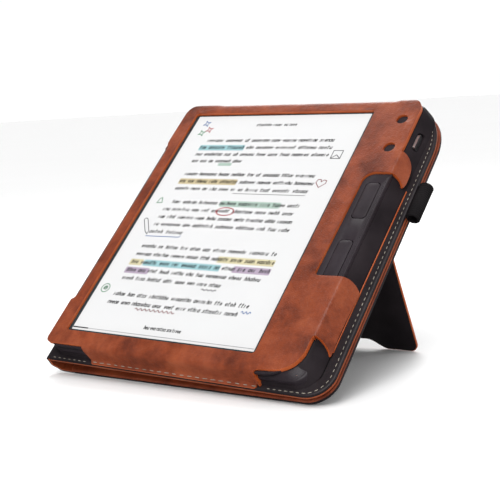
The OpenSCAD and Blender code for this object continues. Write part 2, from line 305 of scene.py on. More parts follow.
def smoothed(points, steps=4):
    # a curve through the points, as corners without a radius
    points = [Vector(point) for point in points]
    curve = []
    for index in range(len(points) - 1):
        p0 = points[max(0, index - 1)]
        p1, p2 = points[index], points[index + 1]
        p3 = points[min(len(points) - 1, index + 2)]
        for step in range(steps):
            t = step / steps
            at = 0.5 * (
                2 * p1 + (p2 - p0) * t + (2 * p0 - 5 * p1 + 4 * p2 - p3) * t**2
                + (3 * p1 - p0 - 3 * p2 + p3) * t**3
            )
            curve.append((at.x, at.y, 0))
    return curve + [(points[-1].x, points[-1].y, 0)]


def box2d(x0, x1, y0, y1, radii):
    lowLeft, lowRight, highRight, highLeft = radii
    return [(x0, y0, lowLeft), (x1, y0, lowRight), (x1, y1, highRight), (x0, y1, highLeft)]


def drawLoop(bm, outline, z=0.0):
    verts = [bm.verts.new((point[0], point[1], z)) for point in outline]
    return [bm.edges.new((verts[i - 1], verts[i])) for i in range(len(verts))]


def around(x, y, radiusX, radiusY, angle):
    return x + radiusX * math.cos(angle), y + radiusY * math.sin(angle)


def circleOutline(x, y, radius, steps=32):
    return [around(x, y, radius, radius, 2 * math.pi * k / steps) for k in range(steps)]


def addBlock(bm, size, at):
    made = bmesh.ops.create_cube(bm, size=1)["verts"]
    bmesh.ops.scale(bm, vec=size, verts=made)
    bmesh.ops.translate(bm, vec=at, verts=made)
    return made


def roundEdges(bm, edges, offset, segments, clamp=False):
    bmesh.ops.bevel(
        bm, geom=edges, offset=offset, offset_type="OFFSET", segments=segments,
        affect="EDGES", profile=0.5, material=-1, clamp_overlap=clamp,
    )


def flatSheet(bm, outlines, z=0.0, up=True):
    edges = []
    for outline in outlines:
        edges += drawLoop(bm, outline, z)
    faces = bmesh.ops.triangle_fill(bm, use_beauty=True, edges=edges)["geom"]
    faces = [item for item in faces if isinstance(item, bmesh.types.BMFace)]
    bm.normal_update()
    for face in faces:
        if (face.normal.z > 0) != up:
            face.normal_flip()
    return faces


def plate(bm, outlines, bottom, top, roundTop=0.0, roundBottom=0.0, segments=3):
    faces = flatSheet(bm, outlines, top)
    topEdges = [edge for edge in {e for f in faces for e in f.edges} if edge.is_boundary]
    made = bmesh.ops.extrude_face_region(bm, geom=faces, use_keep_orig=True)["geom"]
    lowVerts = [item for item in made if isinstance(item, bmesh.types.BMVert)]
    lowEdges = [item for item in made if isinstance(item, bmesh.types.BMEdge)]
    bmesh.ops.translate(bm, verts=lowVerts, vec=(0, 0, bottom - top))
    bmesh.ops.recalc_face_normals(bm, faces=bm.faces)
    lowRim = [edge for edge in lowEdges if edge.is_valid and edge.calc_face_angle(0) > 0.8]
    for rim, size in ((topEdges, roundTop), (lowRim, roundBottom)):
        rim = [edge for edge in rim if edge.is_valid and edge.calc_face_angle(0) > 0.8]
        if size > 0 and rim:
            roundEdges(bm, rim, size, segments, clamp=True)


def ringLoop(bm, x0, x1, y0, y1, radii, z, cornerSteps=9, sideSteps=(12, 14)):
    # the same number of points whatever the size, so that rings can be bridged
    centres = (
        (x1 - radii[1], y0 + radii[1], -90, radii[1]),
        (x1 - radii[2], y1 - radii[2], 0, radii[2]),
        (x0 + radii[3], y1 - radii[3], 90, radii[3]),
        (x0 + radii[0], y0 + radii[0], 180, radii[0]),
    )
    corners = []
    for cx, cy, start, radius in centres:
        corners.append([
            Vector(around(cx, cy, radius, radius, math.radians(start + 90 * k / cornerSteps)))
            for k in range(cornerSteps + 1)
        ])
    outline = []
    for index, corner in enumerate(corners):
        outline += corner
        following = corners[(index + 1) % 4][0]
        steps = sideSteps[(index + 1) % 2]
        outline += [corner[-1].lerp(following, k / steps) for k in range(1, steps)]
    return drawLoop(bm, outline, z)


def bridgeRings(bm, rings, closed=False):
    pairs = list(zip(rings, rings[1:]))
    if closed:
        pairs.append((rings[-1], rings[0]))
    for first, second in pairs:
        bmesh.ops.bridge_loops(bm, edges=first + second)


def makePiece(name, bm, place, materials, smooth=True, body="case", nodes=()):
    bm.transform(place)
    mesh = bpy.data.meshes.new(name)
    bm.to_mesh(mesh)
    bm.free()
    for material in materials:
        mesh.materials.append(material)
    mesh.shade_smooth() if smooth else mesh.shade_flat()
    piece = bpy.data.objects.new(name, mesh)
    scene.collection.objects.link(piece)
    if body:
        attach(piece, body)
    if nodes:
        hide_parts(*nodes)
    return piece


def addSolidify(piece, thickness, offset=-1, rim=None):
    wall = piece.modifiers.new("wall", "SOLIDIFY")
    wall.thickness = thickness * places["metre"]
    wall.offset = offset
    wall.use_even_offset = True
    if rim is not None:
        wall.material_offset_rim = rim
    return wall


def addBevel(piece, width, segments=2, angle=50, material=-1):
    bevel = piece.modifiers.new("softEdge", "BEVEL")
    bevel.width = width * places["metre"]
    bevel.segments = segments
    bevel.limit_method = "ANGLE"
    bevel.angle_limit = math.radians(angle)
    bevel.material = material
    return bevel


def sharpenByAngle(piece, angle=40):
    piece.data.set_sharp_from_angle(angle=math.radians(angle))


def bakeModifiers(piece):
    graph = bpy.context.evaluated_depsgraph_get()
    finished = bpy.data.meshes.new_from_object(piece.evaluated_get(graph))
    piece.modifiers.clear()
    piece.data = finished


# Leather front: a flat cut pattern, folded down over the wall on each side.
frontSet = {
    "thickness": 2.1,
    "window": (54.25, 71.95, 1.6),
    "holes": ((71.0, 65.6), (71.2, 47.4)),
    "holeRadius": 2.9,
    "right": (77.6, ((2.1, 50), (12, 0))),
    "left": (59.0, ((3.77, 72), (8, 0))),
    "top": (77.0, ((4.15, 68), (8, 0))),
    "bottom": (78.5, ((3.81, 78), (4.55, 0), (1.5, -70), (3, 0))),
    "topFlapLow": 0.9,
    # where each fold fades out at the ends of its flap, and what is left of it there
    "rightFade": (44.8, 47.5, 0.12), "leftFade": ((-54.5, -51.5), (51, 48), 0.15),
    "bottomFade": (-42.5, -38.5, 0.15), "topFade": ((-44, -39), (66, 62)),
    "gridStep": 3.0,
    "foldStep": 0.45,
}
tabAbove = [
    (78.7, 31.5), (80.6, 31.5), (82.3, 30.9), (84.2, 29.9), (86.2, 27.8), (86.9, 29.6), (87.0, 32.0),
    (86.9, 34.8), (86.5, 37.8), (85.5, 40.7), (83.8, 43.0), (81.9, 44.4), (80.2, 45.0), (78.4, 45.0),
]
tabBelow = [
    (77.8, -60.4), (78.4, -59.7), (79.8, -59.6), (81.4, -59.8), (83.2, -60.4), (85.3, -61.5),
    (87.0, -62.8), (88.3, -64.2), (88.3, -61.0), (88.0, -54.0), (88.1, -44.0), (88.4, -36.4),
    (88.5, -32.8), (87.9, -31.0), (86.7, -30.0), (85.0, -29.0), (81.9, -28.2), (78.8, -28.6),
]
cornerCut = [
    (58.6, -88.0), (58.2, -85.2), (57.6, -82.2), (57.7, -80.4), (58.9, -79.4), (61.2, -79.0), (63.8, -78.8),
    (67.3, -78.3), (70.2, -77.5), (72.9, -76.0), (75.0, -74.0), (76.5, -71.4), (77.4, -68.7),
    (77.6, -65.6), (77.6, -62.4), (77.8, -60.4),
]
frontCut = [
    (-62.9, -79.7, 3.4), (-39.6, -79.7, 1.0), (-36.0, -87.4, 1.0), (-35.6, -89.1, 0.5), (60.0, -89.1, 1.6),
]
frontCut += smoothed(cornerCut)[:-1] + smoothed(tabBelow)
frontCut += [(64.3, -29.0, 2.2), (65.3, 31.6, 5.5)]
frontCut += smoothed(tabAbove)
frontCut += [
    (78.3, 79.4, 8.0), (63.6, 79.4, 1.5), (63.3, 86.0, 1.0), (-40.0, 86.0, 1.0),
    (-40.3, 78.6, 0.8), (-62.0, 78.4, 7.0), (-62.4, 49.6, 0.6), (-69.2, 49.6, 1.0),
    (-69.2, -53.0, 1.0), (-62.9, -53.0, 0.6),
]


def alongFold(path, distance):
    out = down = angle = 0.0
    for length, turn in path:
        run = min(length, distance)
        bend = math.radians(turn) * run / length
        if abs(bend) < 1e-9:
            out += run * math.cos(angle)
            down += run * math.sin(angle)
        else:
            radius = run / bend
            out += radius * (math.sin(angle + bend) - math.sin(angle))
            down += radius * (math.cos(angle) - math.cos(angle + bend))
        angle += bend
        distance -= run
        if distance <= 0:
            break
    return out, down


def foldSide(value, start, path, share):
    if value <= start:
        return value, 0.0
    out, down = alongFold(path, value - start)
    return value + (start + out - value) * share, down * share


def foldPattern(x, y):
    side = frontSet["right"] if x > 0 else frontSet["left"]
    end = frontSet["top"] if y > 0 else frontSet["bottom"]
    if x > 0:
        low, high, least = frontSet["rightFade"]
        sideShare = 1 - (1 - least) * smoothStep(low, high, y)
        endShare = 1
    else:
        lower, upper, least = frontSet["leftFade"]
        sideShare = least + (1 - least) * smoothStep(*lower, y) * smoothStep(*upper, y)
        low, high, least = frontSet["bottomFade"]
        endShare = least + (1 - least) * smoothStep(low, high, x) if y < 0 else 1
    endStart = end[0]
    if y > 0:
        left, right = frontSet["topFade"]
        endStart -= frontSet["topFlapLow"] * smoothStep(*left, x) * smoothStep(*right, x)
    newX, dropX = foldSide(abs(x), side[0], side[1], sideShare)
    newY, dropY = foldSide(abs(y), endStart, end[1], endShare)
    return math.copysign(newX, x), math.copysign(newY, y), -dropX - dropY


def cutGrid(bm, stops, axis):
    for stop in stops:
        normal = (1, 0, 0) if axis == 0 else (0, 1, 0)
        point = (stop, 0, 0) if axis == 0 else (0, stop, 0)
        geom = bm.verts[:] + bm.edges[:] + bm.faces[:]
        bmesh.ops.bisect_plane(bm, geom=geom, dist=1e-4, plane_co=point, plane_no=normal)


def gridStops(lowFold, highFold, low, high):
    stops = []
    fine, coarse = frontSet["foldStep"], frontSet["gridStep"]
    value = -lowFold - 4.4
    stops += [value + fine * k for k in range(11)]
    stops += [-lowFold + coarse * k for k in range(1, int((lowFold + highFold) / coarse))]
    stops += [highFold + fine * k for k in range(14)]
    stops += [highFold + 7 + coarse * k for k in range(3)]
    stops += [-lowFold - 5.4 - coarse * k / 2 for k in range(6)]
    return [stop for stop in stops if low < stop < high]


bm = bmesh.new()
halfWidth, halfHeight, windowRound = frontSet["window"]
outlines = [filleted(frontCut, 0.7)]
outlines.append(filleted(box2d(-halfWidth, halfWidth, -halfHeight, halfHeight, [windowRound] * 4), 0.5))
for holeX, holeY in frontSet["holes"]:
    outlines.append(circleOutline(holeX, holeY, frontSet["holeRadius"]))
flatSheet(bm, outlines)
cutGrid(bm, gridStops(59, 77.6, -71, 89), 0)
cutGrid(bm, gridStops(78.5, 75.2, -91, 88), 1)
bmesh.ops.remove_doubles(bm, verts=bm.verts, dist=0.01)
for vert in bm.verts:
    vert.co = Vector(foldPattern(vert.co.x, vert.co.y))
frontLeather = makePiece(
    "frontLeather", bm, casePlace, [tanLeather, edgePaint], nodes=["front_frame"]
)
addSolidify(frontLeather, frontSet["thickness"], rim=1)
addBevel(frontLeather, 0.85, 3, 60, material=1)
print("leather front ready")

# Black wall round the reader, with a slot for the charging socket.
wallSet = {
    "x": (-64.0, 84.6),
    "bottom": -82.0,
    "top": 80.9,
    "profile": (
        (9.0, -2.2), (7.0, -2.25), (6.5, -2.35), (6.0, -2.65), (5.4, -3.15), (4.5, -4.0), (3.6, -4.95),
        (2.8, -5.85), (2.0, -6.8), (1.3, -7.6), (0.7, -8.2), (0.5, -8.5),
    ),
    "share": {"left": 0.62, "right": 1.0, "bottom": 0.8, "top": 0.32},
    "undercut": 0.7,
    "corner": (9, 14), "slopeFrom": -2.5,
    "slot": (55.4, -5.6, 11.0, 3.2),
    "cutter": (83, 8),
}


def wallRing(bm, inset, z):
    share = wallSet["share"]
    down = smoothStep(wallSet["slopeFrom"], wallSet["profile"][-1][1], z)
    lean = wallSet["undercut"] * down
    topCorner, footCorner = wallSet["corner"]
    corner = topCorner + (footCorner - topCorner) * down
    return ringLoop(
        bm, wallSet["x"][0] + inset * share["left"], wallSet["x"][1] - inset * share["right"],
        wallSet["bottom"] + inset * share["bottom"], wallSet["top"] - inset * share["top"] - lean,
        (topCorner, topCorner + 1, corner, topCorner), z,
    )


bm = bmesh.new()
bridgeRings(bm, [wallRing(bm, inset, z) for inset, z in wallSet["profile"]])
bmesh.ops.recalc_face_normals(bm, faces=bm.faces)
if sum(face.normal.z * face.calc_area() for face in bm.faces) < 0:
    bmesh.ops.reverse_faces(bm, faces=bm.faces)
gusset = makePiece("gussetWall", bm, casePlace, [gussetSkin], nodes=["side_wall"])
addSolidify(gusset, 0.8)
bm = bmesh.new()
slotY, slotZ, slotLength, slotHeight = wallSet["slot"]
addBlock(bm, (wallSet["cutter"][1], slotLength, slotHeight), (wallSet["cutter"][0], slotY, slotZ))
slotEnds = [e for e in bm.edges if abs(e.verts[0].co.x - e.verts[1].co.x) > 1]
roundEdges(bm, slotEnds, slotHeight * 0.45, 5)
cutter = makePiece("slotCutter", bm, casePlace, [gussetSkin], body=None)
cut = gusset.modifiers.new("slot", "BOOLEAN")
cut.object = cutter
cut.operation = "DIFFERENCE"
cut.solver = "EXACT"
bakeModifiers(gusset)
bpy.data.objects.remove(cutter)
sharpenByAngle(gusset)

# Flange round the foot of the wall, and the painted line along the wall's foot.
panelSet = {
    "x": (-64.2, 89.5), "y": (-84.0, 80.6), "radii": (1.5, 12.0, 12.0, 1.5), "tall": 29.0, "wide": 21.0,
    "skew": 0.0167,
    "flangeTop": -8.38, "flangeBottom": -9.8,
}


def panelRing(bm, inset, z, box=panelSet):
    # the corner at the upper right is longer than it's wide, and the right edge leans by the skew
    (x0, x1), (y0, y1) = box["x"], box["y"]
    x0, x1, y0, y1 = x0 + inset, x1 - inset, y0 + inset, y1 - inset
    radii = [max(0.5, radius - inset) for radius in box["radii"]]
    wide, tall = box["wide"] - inset, box["tall"] - inset
    corners = (
        (x1 - radii[1], y0 + radii[1], -90, radii[1], radii[1]),
        (x1 - wide, y1 - tall, 0, wide, tall),
        (x0 + radii[3], y1 - radii[3], 90, radii[3], radii[3]),
        (x0 + radii[0], y0 + radii[0], 180, radii[0], radii[0]),
    )
    arcs = [
        [Vector(around(cx, cy, rx, ry, math.radians(start + 7.5 * k))) for k in range(13)]
        for cx, cy, start, rx, ry in corners
    ]
    outline = []
    for arc, following in zip(arcs, arcs[1:] + arcs[:1]):
        outline += arc + [arc[-1].lerp(following[0], k / 12) for k in range(1, 12)]
    for point in outline:
        if point.x > 0:
            point.x -= box["skew"] * point.y * point.x / x1
    return drawLoop(bm, outline, z)


bm = bmesh.new()
flangeRings = [
    panelRing(bm, inset, z)
    for inset, z in (
        (0.3, panelSet["flangeBottom"]), (0.0, -9.5), (0.06, -8.6), (0.3, panelSet["flangeTop"]),
        (1.2, -8.36), (2.8, -8.42), (6.0, -8.45), (6.0, -9.0), (0.8, -9.0), (0.8, panelSet["flangeBottom"]),
    )
]
bridgeRings(bm, flangeRings, closed=True)
bmesh.ops.recalc_face_normals(bm, faces=bm.faces)
flange = makePiece(
    "flangeStrip", bm, casePlace, [blackLeather], nodes=["flange_strip"]
)
sharpenByAngle(flange, 50)

footLine = {"at": (84.7, -17.25, -8.25), "size": (0.45, 89.5, 0.7), "round": 0.2}
bm = bmesh.new()
addBlock(bm, footLine["size"], footLine["at"])
roundEdges(bm, bm.edges[:], footLine["round"], 2)
makePiece("wallFootPiping", bm, casePlace, [edgePaint])
print("wall and flange ready")

# Stitches.
stitchSet = {
    "width": 0.4, "height": 0.26, "level": -8.3,
    "seam": (1.8, 2.8), "flap": (2.7, 4.2), "flapLevel": -7.35,
}
stitchRandom = random.Random(7)


def addStitch(bm, x, y, z, angle, length):
    made = bmesh.ops.create_uvsphere(bm, u_segments=8, v_segments=5, radius=0.5)["verts"]
    length *= stitchRandom.uniform(0.85, 1.1)
    bmesh.ops.scale(bm, vec=(stitchSet["width"], stitchSet["height"], length), verts=made)
    turn = (
        Matrix.Translation((x, y, z))
        @ Matrix.Rotation(angle + stitchRandom.uniform(-0.08, 0.08), 4, "Z")
        @ Matrix.Rotation(math.pi / 2, 4, "Y")
        @ Matrix.Rotation(math.pi / 2, 4, "Z")
    )
    bmesh.ops.transform(bm, matrix=turn, verts=made)


def stitchPath(bm, points, z, sizes):
    points = [Vector(point) for point in points]
    lengths = [(b - a).length for a, b in zip(points, points[1:])]
    total = sum(lengths)
    count = max(1, int(total / sizes[1]))
    for index in range(count):
        reach = (index + 0.5) * total / count
        for start, end, length in zip(points, points[1:], lengths):
            if reach <= length:
                break
            reach -= length
        at = start.lerp(end, min(1, reach / length))
        along = end - start
        addStitch(bm, at.x, at.y, z, math.atan2(along.y, along.x), sizes[0])


bm = bmesh.new()
seam = [around(68.4, 51.6, 18.0, 26.8, math.radians(t)) for t in range(48, 0, -6)]
seam += [(86.4, 51), (88.6, -72)]
seam += [around(78.6, -72.0, 10.0, -10.6, math.radians(t)) for t in range(8, 90, 8)]
seam += [(77, -82.7), (61.2, -82.9)]
stitchPath(bm, seam, stitchSet["level"], stitchSet["seam"])
stitchPath(bm, [(-61.5, -82.95), (-39.2, -82.95)], stitchSet["level"], stitchSet["seam"])
stitchPath(bm, [(-35.5, -83.1), (58.0, -83.1)], stitchSet["flapLevel"], stitchSet["flap"])
makePiece("seamStitches", bm, casePlace, [threadFibre], nodes=["edge_thread"])
print("stitches ready")

# Turned skins of the back panel and the cover, each wrapped round its card.
def turnedSkin(bm, box, face, rim, rounding, holes=()):
    away = 1 if rim > face else -1
    rings = []
    for angle in (0, 30, 60, 90):
        turn = math.radians(angle)
        rings.append(panelRing(
            bm, rounding * (1 - math.sin(turn)), face + away * rounding * (1 - math.cos(turn)), box
        ))
    rings.append(panelRing(bm, 0, rim, box))
    bridgeRings(bm, rings)
    edges = list(rings[0])
    for hole in holes:
        edges += drawLoop(bm, hole, face)
    bmesh.ops.triangle_fill(bm, use_beauty=True, edges=edges)
    bmesh.ops.remove_doubles(bm, verts=bm.verts, dist=1e-4)
    bmesh.ops.recalc_face_normals(bm, faces=bm.faces)
    flat = max(bm.faces, key=lambda face: face.calc_area())
    if flat.normal.z * away > 0:
        bmesh.ops.reverse_faces(bm, faces=bm.faces)


def layerBetween(bm, box, inset, low, high, rounding, holes=()):
    # a flat layer with its edges rounded
    rings = [
        panelRing(bm, inset + more, z, box)
        for more, z in (
            (rounding, low), (rounding * 0.3, low + rounding * 0.3), (0, low + rounding),
            (0, high - 0.1), (0.1, high),
        )
    ]
    bridgeRings(bm, rings)
    for ring, level in ((rings[0], low), (rings[-1], high)):
        edges = list(ring)
        for hole in holes:
            edges += drawLoop(bm, hole, level)
        bmesh.ops.triangle_fill(bm, use_beauty=True, edges=edges)
    if holes:
        walls = [edge for edge in bm.edges if edge.is_boundary]
        bmesh.ops.bridge_loops(bm, edges=walls)
    bmesh.ops.recalc_face_normals(bm, faces=bm.faces)


backSet = {
    "face": -11.4, "rim": -9.82, "rounding": 1.3, "keyHole": (66.0, 58.0, 8.0),
    "board": (-10.7, -9.55), "lining": (-9.52, -9.03), "inset": 0.95,
}
bm = bmesh.new()
keyHole = circleOutline(*backSet["keyHole"])
turnedSkin(bm, panelSet, backSet["face"], backSet["rim"], backSet["rounding"], [keyHole])
backSkin = makePiece(
    "backSkin", bm, casePlace, [tanLeather, edgePaint], nodes=["back_skin"]
)
addSolidify(backSkin, 0.6, rim=1)
addBevel(backSkin, 0.25, 2, 60, material=1)
for name, node, layer, material, slot in (
    ("backBoard", "back_board", "board", pressedCard, "greyboard"),
    ("backLining", "back_lining", "lining", matLining, "black_leather"),
):
    bm = bmesh.new()
    layerBetween(bm, panelSet, backSet["inset"], *backSet[layer], 0.1, [keyHole])
    piece = makePiece(name, bm, casePlace, [material], nodes=[node])
    sharpenByAngle(piece)

coverSet = {
    "x": (-56.0, 89.0), "y": (-83.7, 81.0), "radii": (2.0, 12.0, 12.0, 2.0), "tall": 26.0, "wide": 17.0,
    "skew": 0.0167,
    "face": -17.4, "rim": -18.25, "rounding": 0.8,
    "board": (-19.3, -18.05), "lining": (-20.0, -18.3), "inset": 0.75,
}
bm = bmesh.new()
turnedSkin(bm, coverSet, coverSet["face"], coverSet["rim"], coverSet["rounding"])
coverSkin = makePiece(
    "coverSkin", bm, coverPlace, [tanLeather, edgePaint],
    body="cover", nodes=["cover_skin"],
)
addSolidify(coverSkin, 0.55, rim=1)
addBevel(coverSkin, 0.2, 2, 60, material=1)
bm = bmesh.new()
layerBetween(bm, coverSet, coverSet["inset"], *coverSet["board"], 0.1)
coverBoard = makePiece(
    "coverBoard", bm, coverPlace, [pressedCard], body="cover", nodes=["cover_board"]
)
sharpenByAngle(coverBoard)
bm = bmesh.new()
turnedSkin(bm, coverSet, coverSet["lining"][0], coverSet["lining"][1], 0.6)
coverLining = makePiece(
    "coverLining", bm, coverPlace, [blackLeather],
    body="cover", nodes=["cover_lining"],
)
addSolidify(coverLining, 0.55)
print("back and cover ready")

# Soft spine: one strip of leather, split at the middle of each stretch into four pieces; its middle line curves
# through the folds.
spineSet = {
    "folds": ((-65.082, -9.840), (-65.778, -14.791), (-62.181, -18.264), (-57.2, -18.7)),
    "start": (-64.15, -9.75),
    "end": (-55.4, -18.75),
    "y": (-83.5, 82.2),
    "outer": 0.95,
    "inner": 0.6,
    "bodies": ("case", "spine_inner", "spine_middle", "spine_outer", "cover"),
    "steps": 8,
    # each layer from near the outside to near the inside, with its face's and its end's material
    "layers": ((1.0, 0.38, 0, 0), (0.4, 0.0, 1, 2)),
}


def spineCurve(t, points):
    # a smooth curve through the points, t from 0 to the last index
    index = min(int(t), len(points) - 2)
    local = t - index
    p0 = points[max(0, index - 1)]
    p1, p2 = points[index], points[index + 1]
    p3 = points[min(len(points) - 1, index + 2)]
    return 0.5 * (
        2 * p1 + (p2 - p0) * local + (2 * p0 - 5 * p1 + 4 * p2 - p3) * local**2
        + (3 * p1 - p0 - 3 * p2 + p3) * local**3
    )


foldPoints = [Vector(p) for p in spineSet["folds"]]
middles = [a.lerp(b, 0.5) for a, b in zip(foldPoints, foldPoints[1:])]
# the strip's middle line runs through the folds and the middles between them
spinePoints = [Vector(spineSet["start"])]
for index, fold in enumerate(foldPoints):
    spinePoints.append(fold)
    if index < 3:
        spinePoints.append(middles[index])
spinePoints.append(Vector(spineSet["end"]))
spineCuts = [0, 2, 4, 6, len(spinePoints) - 1]
for index in range(4):
    first, last = spineCuts[index], spineCuts[index + 1]
    samples = []
    for step in range(spineSet["steps"] + 1):
        t = first + (last - first) * step / spineSet["steps"]
        here = spineCurve(t, spinePoints)
        ahead = spineCurve(min(t + 0.02, len(spinePoints) - 1), spinePoints)
        behind = spineCurve(max(t - 0.02, 0), spinePoints)
        along = (ahead - behind).normalized()
        outward = Vector((along.y, -along.x))
        samples.append((here + outward * spineSet["outer"], here - outward * spineSet["inner"]))
    spineLow, spineHigh = spineSet["y"]
    bm = bmesh.new()
    for near, far, body, rim in spineSet["layers"]:
        section = [inner.lerp(outer, near) for outer, inner in samples]
        section += [inner.lerp(outer, far) for outer, inner in reversed(samples)]
        side = bm.faces.new([bm.verts.new((p.x, spineLow, p.y)) for p in section])
        side.material_index = rim
        made = bmesh.ops.extrude_face_region(bm, geom=[side], use_keep_orig=True)["geom"]
        moved = [item for item in made if isinstance(item, bmesh.types.BMVert)]
        bmesh.ops.translate(bm, verts=moved, vec=(0, spineHigh - spineLow, 0))
        for face in {face for vert in moved for face in vert.link_faces}:
            face.material_index = rim if len(face.verts) > 4 else body
    bmesh.ops.recalc_face_normals(bm, faces=bm.faces)
    strip = makePiece(
        "spineLeather%d" % (index + 1), bm, coverPlace, [blackLeather, tanLeather, edgePaint],
        body=None,
    )
    sharpenByAngle(strip, 50)
    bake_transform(strip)
    if index < 3:
        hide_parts(("spine_inner", "spine_middle", "spine_outer")[index])
print("spine ready")

# Stand: card between two black skins, its edge painted.
standSet = {
    "half": 55.5, "top": -1.4, "length": 71.11, "foot": 16.5, "arch": 5.0,
    "archRun": (1.5, 9), "corner": (4.0, 7.0, 3.0),
    "board": 0.52, "skin": (0.5, 0.9), "inset": 0.35,
}


def standOutline(shrink):
    half, low = standSet["half"] - shrink, -standSet["length"] + shrink
    top, inner = standSet["top"] - shrink, standSet["half"] - standSet["foot"] + shrink
    arch = low + standSet["arch"]
    archStart, archEnd = (inner - run for run in standSet["archRun"])
    footRound, archRound, topRound = standSet["corner"]
    return filleted([
        (-half, low, footRound), (-archStart, low, archRound), (-archEnd, arch, archRound),
        (archEnd, arch, archRound), (archStart, low, archRound), (half, low, footRound),
        (half, top, topRound), (-half, top, topRound),
    ], 0.7)


bm = bmesh.new()
plate(bm, [standOutline(0)], -standSet["board"], standSet["board"], 0.3, 0.3)
standCard = makePiece(
    "standBoard", bm, standPlace, [edgePaint], body="stand", nodes=["stand_board"]
)
sharpenByAngle(standCard)
for name, node, sign in (
    ("standFrontSkin", "stand_front_skin", 1), ("standRearSkin", "stand_rear_skin", -1),
):
    low, high = standSet["skin"]
    bottom, top = (low, high) if sign > 0 else (-high, -low)
    bm = bmesh.new()
    plate(bm, [standOutline(standSet["inset"])], bottom, top,
          0.25 if sign > 0 else 0.0, 0.25 if sign < 0 else 0.0)
    skin = makePiece(
        name, bm, standPlace, [blackLeather], body="stand", nodes=[node]
    )
    sharpenByAngle(skin)
print("stand ready")

# Pen loop of ribbed elastic.
loopSet = {
    "centre": (92.3, -10.2), "halfX": 3.3, "halfZ": 3.2, "from": 13.2, "to": 32.4,
    "ribs": 18, "rib": 0.32, "wall": 0.8, "points": 40, "left": 89.2,
}


def loopRing(bm, y, grow):
    cx, cz = loopSet["centre"]
    radius = loopSet["halfZ"] - 0.25 + grow
    flat = loopSet["halfX"] - loopSet["halfZ"]
    verts = []
    for k in range(loopSet["points"]):
        angle = 2 * math.pi * k / loopSet["points"]
        x, z = around(cx + math.copysign(flat, math.cos(angle)), cz, radius, radius, angle)
        verts.append(bm.verts.new((max(x, loopSet["left"] - 0.3 * grow), y, z)))
    return [bm.edges.new((verts[k - 1], verts[k])) for k in range(len(verts))]


bm = bmesh.new()
span = loopSet["to"] - loopSet["from"]
rings = []
count = loopSet["ribs"] * 4
for k in range(count + 1):
    wave = abs(math.sin(math.pi * k / 4))
    rings.append(loopRing(bm, loopSet["from"] + span * k / count, loopSet["rib"] * wave))
rings.append(loopRing(bm, loopSet["to"], -loopSet["wall"]))
rings.append(loopRing(bm, loopSet["from"], -loopSet["wall"]))
bridgeRings(bm, rings, closed=True)
bmesh.ops.recalc_face_normals(bm, faces=bm.faces)
penLoop = makePiece("penLoop", bm, casePlace, [elasticWeave], nodes=["pen_loop"])
sharpenByAngle(penLoop, 60)
print("pen loop ready")

# Reader's front housing with its grip ridge, and the page keys.
readerSet = {
    "x": (-62.1, 82.4), "half": 80.4, "round": 6.9, "front": -1.3, "back": -2.5,
    "window": (56.2, 73.7, 2.0), "keyX": 71.5, "keyY": (15.5, -18.5),
    "key": (3.5, 10.5, 2.0), "gap": 0.3, "keyRise": 0.12, "keyDeep": 1.9, "stem": (1.6, 1.05, -3.525),
    "right": (76.8, 78.5), "top": 78.0, "topLow": 0.8, "lean": (1.6, -4, -9),
    "ridge": (76.9, 78.4, -29.0, 29.5, 0.62),
}


def keyOutline(index, grow):
    halfX, halfY, radius = readerSet["key"]
    x, y = readerSet["keyX"], readerSet["keyY"][index]
    return filleted(
        box2d(x - halfX - grow, x + halfX + grow, y - halfY - grow, y + halfY + grow, [radius] * 4), 0.3
    )


bm = bmesh.new()
windowX, windowY, windowRound = readerSet["window"]
narrow, wide = readerSet["right"]
plate(
    bm,
    [
        filleted([
            (readerSet["x"][0], -readerSet["half"], readerSet["round"]),
            (narrow, -readerSet["half"], 16.0), (narrow, -45, 3.0), (wide, -38, 3.0), (wide, 36, 3.0),
            (narrow, 44, 3.0), (narrow, readerSet["top"], 11.0),
            (readerSet["x"][0], readerSet["top"], readerSet["round"]),
        ], 1.0),
        filleted(box2d(-windowX, windowX, -windowY, windowY, [windowRound] * 4), 0.6),
        keyOutline(0, readerSet["gap"]), keyOutline(1, readerSet["gap"]),
    ],
    readerSet["back"], readerSet["front"], 0.18, 0.0, 2,
)


def housingRing(bm, inset, z, right):
    left, half = readerSet["x"][0], readerSet["half"]
    most, start, end = readerSet["lean"]
    top = half - inset - most * smoothStep(start, end, z) - readerSet["topLow"]
    return ringLoop(
        bm, left + inset, right - inset, -half + inset, top,
        [max(1.0, readerSet["round"] - inset)] * 4, z,
    )


skirtRings = [
    housingRing(bm, inset, z, right)
    for inset, z, right in (
        (2.6, -2.5, 78.3), (0, -4.55, 79.0), (1.2, -4.55, 79.0), (3.6, -2.5, 78.3),
    )
]
bridgeRings(bm, skirtRings, closed=True)
ridgeLow, ridgeHigh, ridgeStart, ridgeEnd, ridgeRise = readerSet["ridge"]
for low, high, rise in (
    (ridgeLow, ridgeLow + 0.62, ridgeRise * 0.8), (ridgeLow + 0.62, ridgeHigh, ridgeRise),
):
    made = addBlock(
        bm, (high - low, ridgeEnd - ridgeStart, rise + 0.6),
        ((low + high) / 2, (ridgeStart + ridgeEnd) / 2, readerSet["front"] + (rise - 0.6) / 2),
    )
    roundEdges(bm, list({edge for vert in made for edge in vert.link_edges}), 0.24, 3)
housing = makePiece(
    "frontHousing", bm, casePlace, [gripPlastic], nodes=["front_housing"]
)
sharpenByAngle(housing)

